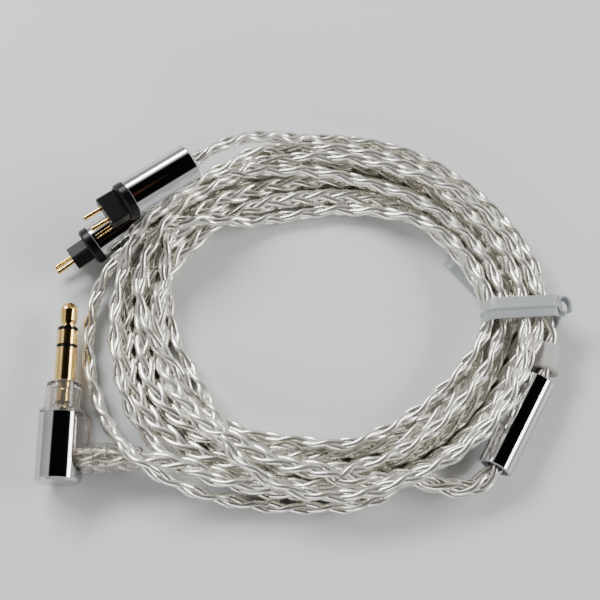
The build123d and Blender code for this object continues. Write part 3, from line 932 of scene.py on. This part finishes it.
def finish_piece(mesh: bmesh.types.BMesh, name: str, finish: Finish) -> bpy.types.Object:
    """Turn a bmesh into a smooth-shaded, dressed piece of the object.

    Args:
        mesh: the shape, which is freed.
        name: the piece's name.
        finish: the finish it takes.

    Returns:
        The new object.
    """
    data = bpy.data.meshes.new(name)
    mesh.to_mesh(data)
    mesh.free()
    piece = bpy.data.objects.new(name, data)
    bpy.context.scene.collection.objects.link(piece)
    data.shade_smooth()
    finish.dress(piece)
    log.info("%s: %d faces", name, len(data.polygons))
    return piece


# ---- hard pieces carried over ------------------------------------------------------------------
@dataclass
class Fittings:
    """The jack, ear connectors, Y-split and slider, which keep their own shape."""

    nodes: dict[str, bpy.types.Object]
    finishes: dict[str, Finish] = field(default_factory=lambda: {
        "jack_tip": GOLD, "jack_ring": GOLD, "jack_sleeve": GOLD,
        "jack_tip_insulator": INSULATOR, "jack_ring_insulator": INSULATOR,
        "jack_housing": CLEAR, "jack_arm_ring": CLEAR, "jack_boot": CLEAR, "jack_shell": CHROME,
        "jack_conductors": GOLD,
        "left_pin_block": BLACK, "right_pin_block": BLACK,
        "left_contact_pins": GOLD, "right_contact_pins": GOLD,
        "left_barrel": CHROME, "right_barrel": CHROME,
        "left_conductors": GOLD, "right_conductors": GOLD,
        "left_rear_sleeve": SLEEVE, "right_rear_sleeve": SLEEVE,
        "splitter_barrel": CHROME, "splitter_lower_insert": BLACK, "splitter_upper_insert": BLACK,
        "splitter_splice": BLACK, "chin_slider": FROSTED,
    })

    def dress(self) -> None:
        """Give every fitting its finish."""
        for name, finish in self.finishes.items():
            finish.dress(self.nodes[name])
            log.info("%s dressed in %s", name, finish.name)


# ---- braided leads -----------------------------------------------------------------------------
@dataclass
class Leads:
    """The main lead and the two ear leads, braided and wound into their coil."""

    winding: Winding = field(default_factory=lambda: Winding([MAIN, LEFT, RIGHT]))
    connector_parts: tuple[str, ...] = ("pin_block", "contact_pins", "barrel", "conductors", "rear_sleeve")

    def build(self) -> None:
        self.winding.settle()
        braids = {
            "main": Braid(
                MAIN, strands=8, strand_diameter=1.25, pitch=19.0, weave=Weave.OVER_TWO,
                lift=0.24, core=0.8, spread=0.22,
            ),
        }
        for side, lead in (("left", LEFT), ("right", RIGHT)):
            braids[side] = Braid(
                lead, strands=4, strand_diameter=1.2, pitch=12.6, weave=Weave.OVER_ONE,
                lift=0.17, core=0.3, spread=0.2,
            )
        made = {side: braid.build() for side, braid in braids.items()}
        for side, (piece, _) in made.items():
            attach(piece, "cable")
        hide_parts("coil", "main_lead", "main_end")
        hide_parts("left_lead_start", "left_lead_end")
        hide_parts("right_lead_start", "right_lead_end")
        piece, line = made["main"]
        for side in ("left", "right"):
            piece, line = made[side]

    @staticmethod
    def length(line: Sequence[Vector]) -> float:
        """Length of a lead along its line, in metres."""
        return round(sum((b - a).length for a, b in zip(line, line[1:])), 3)


# ---- studio ------------------------------------------------------------------------------------
@dataclass
class Studio:
    """Camera above the front edge, pale table top and plain soft light."""

    lens: float = 69.4
    sensor: float = 36.0
    elevation: float = 71.0
    distance: float = 0.197
    target: Point = (0.0, 0.0, 4.0)
    floor_half: float = 8.0
    dark_way: Point = (0.15, -0.25, 0.957)
    sky: tuple[tuple[float, Colour], ...] = (
        (0.0, (0.52, 0.525, 0.53)), (1.0, (0.004, 0.004, 0.004)), (0.6, (0.74, 0.745, 0.75)),
        (0.64, (0.3, 0.3, 0.3)), (0.67, (0.004, 0.004, 0.004)), (0.95, (0.004, 0.004, 0.004)),
        (0.958, (0.08, 0.035, 0.02)), (0.966, (0.08, 0.035, 0.02)), (0.974, (0.004, 0.004, 0.004)),
    )

    def camera(self) -> None:
        """Set up the camera that looks down on the coil."""
        data = bpy.data.cameras.new("camera")
        data.lens = self.lens
        data.sensor_width = self.sensor
        data.clip_start = 0.005
        holder = bpy.data.objects.new("camera", data)
        tilt = math.radians(self.elevation)
        aim = place(*self.target)
        holder.location = aim + Vector((0, -math.cos(tilt), math.sin(tilt))) * self.distance
        holder.rotation_euler = (aim - holder.location).to_track_quat("-Z", "Y").to_euler()
        bpy.context.scene.collection.objects.link(holder)
        bpy.context.scene.camera = holder

    def floor(self) -> None:
        """Lay the table top."""
        mesh = bmesh.new()
        bmesh.ops.create_grid(mesh, x_segments=1, y_segments=1, size=self.floor_half)
        finish_piece(mesh, "table_top", FLOOR)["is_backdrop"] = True

    @staticmethod
    def softbox(
        name: str, spot: Point, size: tuple[float, float], power: float, tone: Colour = (1, 1, 1),
    ) -> None:
        """Add one rectangular soft light that faces the coil.

        Args:
            name: the light's name.
            spot: its place, in metres.
            size: its two sides, in metres.
            power: in watts.
            tone: its colour.
        """
        data = bpy.data.lights.new(name, "AREA")
        data.shape = "RECTANGLE"
        data.size, data.size_y = size
        data.energy = power
        data.color = tone
        holder = bpy.data.objects.new(name, data)
        holder.location = spot
        holder.rotation_euler = (-Vector(spot)).to_track_quat("-Z", "Y").to_euler()
        bpy.context.scene.collection.objects.link(holder)

    def light(self) -> None:
        """Broad soft light from both sides, with a dark gap overhead between them."""
        self.softbox("window", (-0.4, 0.5, 0.5), (0.6, 0.22), 8.0, (0.97, 0.985, 1.0))
        self.softbox("fill", (0.62, 0.05, 0.34), (0.5, 0.2), 4.0, (1.0, 0.99, 0.97))
        self.softbox("front", (-0.25, -0.7, 0.32), (0.8, 0.2), 2.5)
        world = bpy.data.worlds.new("room")
        world.use_nodes = True
        graph = Graph(world.node_tree)
        where = graph.node("ShaderNodeTexCoord", output="Generated")
        height = graph.node(
            "ShaderNodeVectorMath", {"operation": "DOT_PRODUCT"}, {0: where, 1: self.dark_way},
            output="Value",
        )
        sky = graph.node("ShaderNodeValToRGB", {"stops": self.sky}, {"Fac": height})
        graph.feed(world.node_tree.nodes["Background"].inputs["Color"], sky)
        bpy.context.scene.world = world

    def build(self) -> None:
        """Set up camera, table top and lights."""
        self.camera()
        self.floor()
        self.light()


def main(frame: dict, cad_box: object) -> None:
    """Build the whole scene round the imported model.
    """
    Studio().build()
    Leads().build()
    TwistTie().build()
    Fittings(frame["nodes"]).dress()


if __name__ == "__main__":
    logging.basicConfig(level=logging.INFO, format="%(message)s")
    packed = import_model()
    main(packed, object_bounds())
